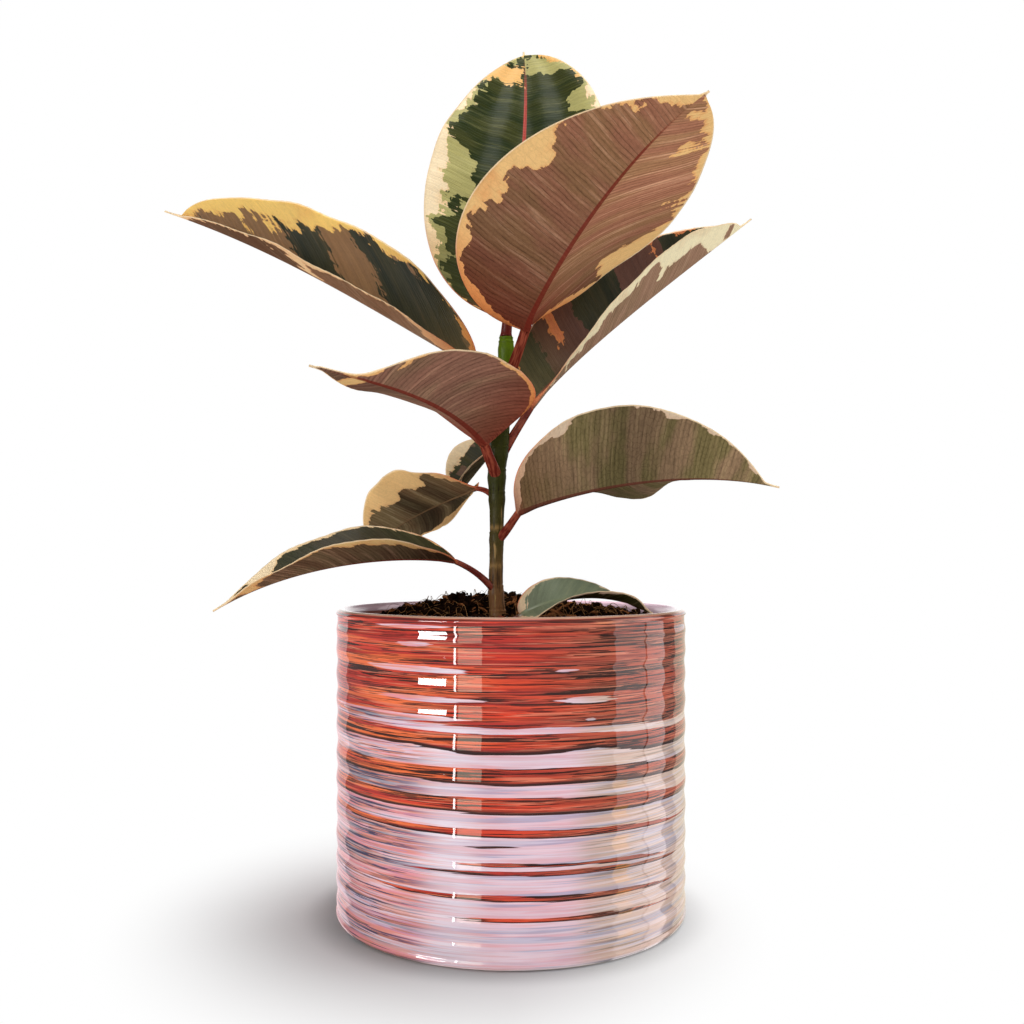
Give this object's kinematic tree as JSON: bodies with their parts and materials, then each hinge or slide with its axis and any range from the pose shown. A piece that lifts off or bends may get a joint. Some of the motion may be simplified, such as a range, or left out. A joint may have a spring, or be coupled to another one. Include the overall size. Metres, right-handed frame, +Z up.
{
  "type": "potted variegated rubber plant",
  "caption": "Young variegated rubber plant with one stem, broad pointed leaves and a closed bud, in soil in a ribbed glazed pot.",
  "frame": {"origin": "centre of the pot's flat underside", "axes": "+Z up along the pot's axis; -Y is the side that the front leaves face; +X is to the right seen from there"},
  "size_m": [0.2535, 0.1423, 0.3793],
  "materials": {
    "glaze": "glossy lustre glaze, red with pearly pink and blue bands",
    "soil": "dry, crumbly, matte",
    "stem": "satin green bark turning brown",
    "bud": "satin, dark red sheath",
    "leaf": "glossy above, satin below, green with cream and pink margins"
  },
  "bodies": {
    "root": {"pot": "glaze", "soil": "soil", "stem": "stem", "bud": "bud", "leaf_back_top": "leaf", "leaf_front_top": "leaf", "leaf_right_upper": "leaf", "leaf_left_upper": "leaf", "leaf_left_front": "leaf", "leaf_right_middle": "leaf", "leaf_left_low": "leaf", "leaf_back_left": "leaf", "leaf_behind_stem": "leaf", "leaf_on_soil": "leaf"}
  },
  "joints": []
}
